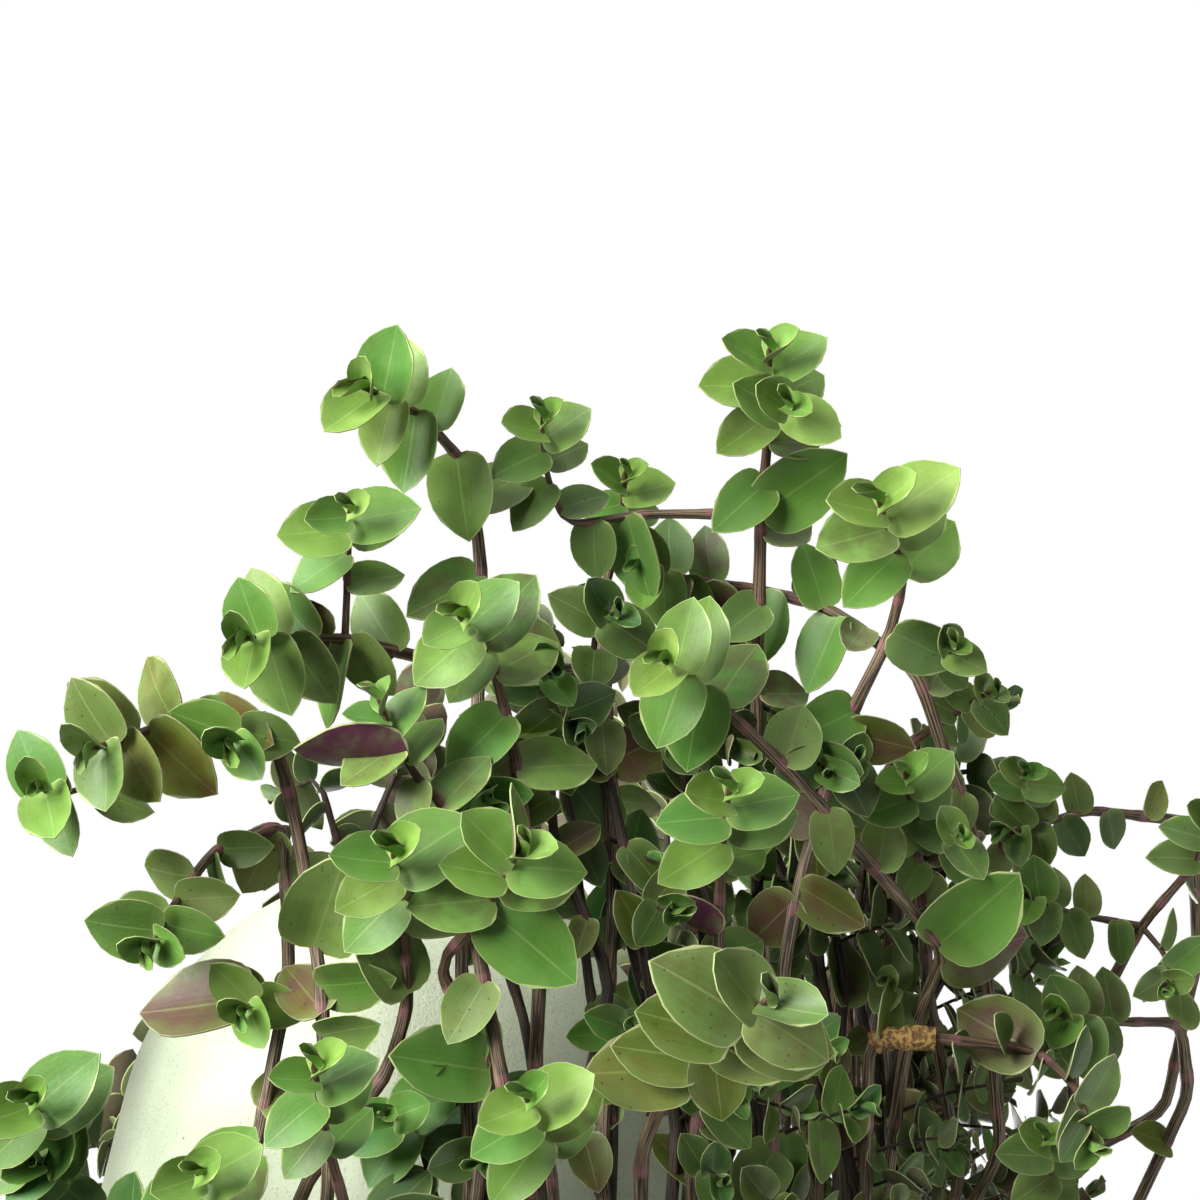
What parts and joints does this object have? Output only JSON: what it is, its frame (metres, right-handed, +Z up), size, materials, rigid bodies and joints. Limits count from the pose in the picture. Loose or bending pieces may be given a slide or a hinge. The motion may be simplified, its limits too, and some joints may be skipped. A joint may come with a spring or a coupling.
{
  "type": "turtle vine in hanging basket",
  "caption": "Trailing vine with small ovate leaves, rooted in soil in a round-bottomed pot that hangs from a hook by wires.",
  "frame": {"origin": "the top of the hook's throat, where the hook hangs on what holds it, on the pot's axis", "axes": "+Z up along the pot's axis; -Y towards the front, the side that the picture shows; +X to the right of a viewer who looks along +Y"},
  "size_m": [0.3714, 0.3347, 0.5304],
  "materials": {
    "pot": "matt pale sage with a fine sandy grain",
    "soil": "dark crumbly potting compost of plant fibre",
    "hanger": "plain zinc-coated wire and plate",
    "foliage": "satin fleshy leaves on brown stems"
  },
  "bodies": {
    "root": {"hanger_hook": "hanger", "hanger_wire_1": "hanger", "hanger_wire_2": "hanger", "hanger_wire_3": "hanger", "pot": "pot", "soil": "soil", "tuft_1": "foliage", "tuft_2": "foliage", "tuft_3": "foliage", "tuft_4": "foliage", "vine_front_01": "foliage", "vine_front_02": "foliage", "vine_front_03": "foliage", "vine_front_04": "foliage", "vine_front_05": "foliage", "vine_front_06": "foliage", "vine_front_07": "foliage", "vine_front_08": "foliage", "vine_front_09": "foliage", "vine_front_10": "foliage", "vine_front_11": "foliage", "vine_front_12": "foliage", "vine_front_13": "foliage", "vine_front_14": "foliage", "vine_front_15": "foliage", "vine_front_16": "foliage", "vine_front_17": "foliage", "vine_front_18": "foliage", "vine_front_19": "foliage", "vine_front_20": "foliage", "vine_front_21": "foliage", "vine_front_22": "foliage", "vine_front_23": "foliage", "vine_front_24": "foliage", "vine_front_25": "foliage", "vine_front_26": "foliage", "vine_front_27": "foliage", "vine_rest_01": "foliage", "vine_rest_02": "foliage", "vine_rest_03": "foliage", "vine_rest_04": "foliage", "vine_rest_05": "foliage", "vine_rest_06": "foliage", "vine_rest_07": "foliage", "vine_rest_08": "foliage", "vine_rest_09": "foliage", "vine_rest_10": "foliage", "vine_rest_11": "foliage", "vine_rest_12": "foliage", "vine_rest_13": "foliage", "vine_rest_14": "foliage", "vine_rest_15": "foliage", "vine_rest_16": "foliage", "vine_rest_17": "foliage", "vine_rest_18": "foliage", "vine_rest_19": "foliage", "vine_rest_20": "foliage", "vine_rest_21": "foliage", "vine_rest_22": "foliage", "vine_rest_23": "foliage"}
  },
  "joints": []
}
